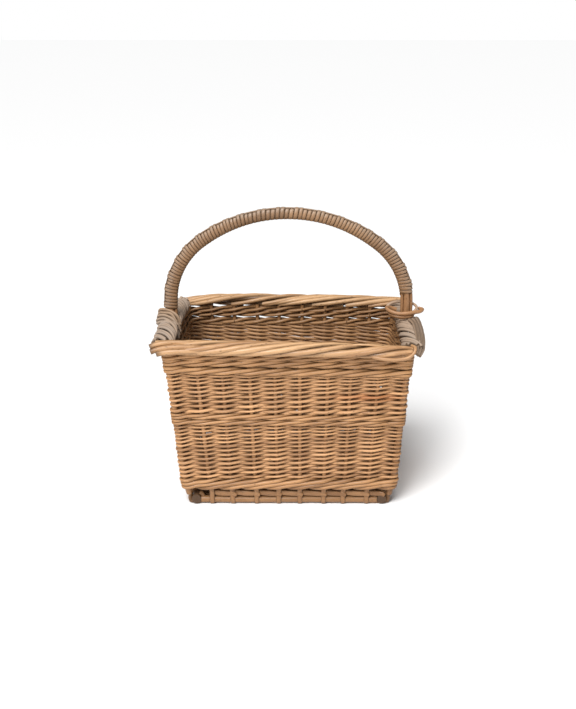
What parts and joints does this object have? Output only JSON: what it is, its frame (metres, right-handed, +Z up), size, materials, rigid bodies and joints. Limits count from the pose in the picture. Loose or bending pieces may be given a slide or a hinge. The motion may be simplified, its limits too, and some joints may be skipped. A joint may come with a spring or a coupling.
{
  "type": "woven market basket",
  "caption": "Rectangular flared willow market basket with randed walls, waled bands, rolled border and a fixed skein-wrapped bow handle over its long axis.",
  "frame": {"origin": "middle of the basket's footprint, on the ground under the middle of the handle", "axes": "+Z up, X along the basket and its handle, -Y towards the viewer's long side"},
  "size_m": [0.409, 0.306, 0.4587],
  "materials": {
    "weavers": "split-free buff willow, satin, light grain with brown flecks",
    "wale_rods": "thicker buff willow rods, satin",
    "stakes": "straight willow stakes, slightly darker, satin",
    "border_rods": "thick pale willow rods worn smooth by hands",
    "weathered_border": "sun-greyed willow, dry and matt",
    "handle_rods": "round willow rods, satin",
    "skein": "flat shaved willow skein, worn, greyed on the outside of the arch",
    "base_willow": "thick base sticks with dark weathered cut ends"
  },
  "bodies": {
    "root": {"base_end_sticks": "base_willow", "base_sticks": "base_willow", "base_weave": "weavers", "foot_rod_front": "wale_rods", "foot_rod_back": "wale_rods", "corner_posts": "stakes", "stakes_front": "stakes", "stakes_right": "stakes", "stakes_back": "stakes", "stakes_left": "stakes", "bottom_wale_front": "wale_rods", "bottom_wale_right": "wale_rods", "bottom_wale_back": "wale_rods", "bottom_wale_left": "wale_rods", "lower_randing_front": "weavers", "lower_randing_right": "weavers", "lower_randing_back": "weavers", "lower_randing_left": "weavers", "middle_wale_front": "wale_rods", "middle_wale_right": "wale_rods", "middle_wale_back": "wale_rods", "middle_wale_left": "wale_rods", "upper_randing_front": "weavers", "upper_randing_right": "weavers", "upper_randing_back": "weavers", "upper_randing_left": "weavers", "upper_wale_front": "wale_rods", "upper_wale_right": "wale_rods", "upper_wale_back": "wale_rods", "upper_wale_left": "wale_rods", "top_wale_front": "wale_rods", "top_wale_right": "wale_rods", "top_wale_back": "wale_rods", "top_wale_left": "wale_rods", "border_front": "border_rods", "border_back": "border_rods", "border_left": "weathered_border", "border_right": "weathered_border", "handle_bow": "handle_rods", "handle_side_rods": "handle_rods", "handle_leaders": "skein", "handle_wrapping": "skein", "handle_tie_left": "weathered_border", "handle_loop_right": "handle_rods"}
  },
  "joints": []
}
